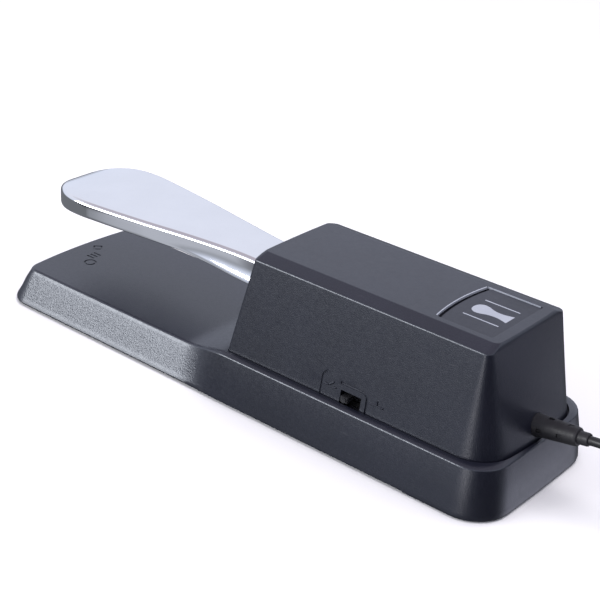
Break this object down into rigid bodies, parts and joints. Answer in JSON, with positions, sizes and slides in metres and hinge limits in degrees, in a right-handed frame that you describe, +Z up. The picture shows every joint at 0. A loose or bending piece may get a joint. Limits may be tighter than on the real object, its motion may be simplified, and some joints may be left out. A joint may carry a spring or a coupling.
{
  "type": "sustain pedal",
  "caption": "Piano-style sustain pedal: chromed lever hinged in a housing on a low weighted base, with a polarity slide switch and a coiled lead to a jack plug.",
  "frame": {"origin": "on the standing surface, under the middle of the base", "axes": "+Y from the pedal's tip to the rear, where the lead leaves; +Z up; +X towards the side with the polarity switch"},
  "size_m": [0.1039, 0.3501, 0.061],
  "materials": {
    "shell_plastic": "satin",
    "label": "satin",
    "plated_steel": "satin",
    "screw_steel": "satin",
    "sole_rubber": "matte",
    "nylon": "satin",
    "pedal_chrome": "gloss",
    "spring_steel": "satin",
    "felt": "matte",
    "board": "gloss",
    "switch_plastic": "gloss",
    "button_plastic": "gloss",
    "knob_plastic": "satin",
    "lead_sheath": "satin",
    "sleeve_rubber": "matte",
    "tie_plastic": "matte",
    "grip_plastic": "satin",
    "plug_metal": "gloss",
    "insulator": "gloss"
  },
  "bodies": {
    "base": {"base_shell": "shell_plastic", "top_cover": "shell_plastic", "label_plate": "label", "base_plate": "plated_steel", "plate_screws": "screw_steel", "sole_pad": "sole_rubber", "pivot_bracket": "plated_steel", "bracket_screws": "screw_steel", "pivot_pin": "screw_steel", "pin_clips": "screw_steel", "return_spring": "spring_steel", "upper_pad": "felt", "lower_bumper": "sole_rubber", "circuit_board": "board", "board_screws": "screw_steel", "microswitch_case": "switch_plastic", "slide_switch_case": "plated_steel", "lead_wires": "lead_sheath", "cord_clamp": "knob_plastic", "clamp_screws": "screw_steel", "cover_screws": "screw_steel", "strain_relief": "sleeve_rubber", "cord_lead": "lead_sheath", "cord_coil": "lead_sheath", "cord_end": "lead_sheath", "cord_tie": "tie_plastic", "plug_grip": "grip_plastic", "plug_sleeve": "plug_metal", "plug_insulator": "insulator", "plug_tip": "plug_metal"},
    "pedal": {"pedal_lever": "pedal_chrome", "pivot_bushes": "nylon", "spring_cup": "nylon"},
    "polarity_knob": {"polarity_slider": "knob_plastic"},
    "switch_leaf": {"microswitch_leaf": "spring_steel"},
    "switch_button": {"microswitch_button": "button_plastic"}
  },
  "joints": [
    {"name": "pedal_hinge", "type": "hinge", "parent": "base", "child": "pedal", "pos_m": [0, 0.088, 0.044], "axis": [1, 0, 0], "range_deg": [0, 5], "stiffness_Nm_per_rad": 12, "springref_deg": -4.01, "deforming": ["return_spring"]},
    {"name": "polarity_slide", "type": "slide", "parent": "base", "child": "polarity_knob", "axis": [0, 1, 0], "range_m": [0, 0.0048]},
    {"name": "leaf_hinge", "type": "hinge", "parent": "base", "child": "switch_leaf", "pos_m": [0, 0.0725, 0.0285], "axis": [1, 0, 0], "range_deg": [0, 9.5]},
    {"name": "button_press", "type": "slide", "parent": "base", "child": "switch_button", "axis": [0, 0, 1], "range_m": [-0.0014, 0]}
  ],
  "couplings": [
    {"joint": "leaf_hinge", "follows": "pedal_hinge", "ratio": 1.85},
    {"joint": "button_press", "follows": "pedal_hinge", "m_per_rad": -0.0157}
  ]
}
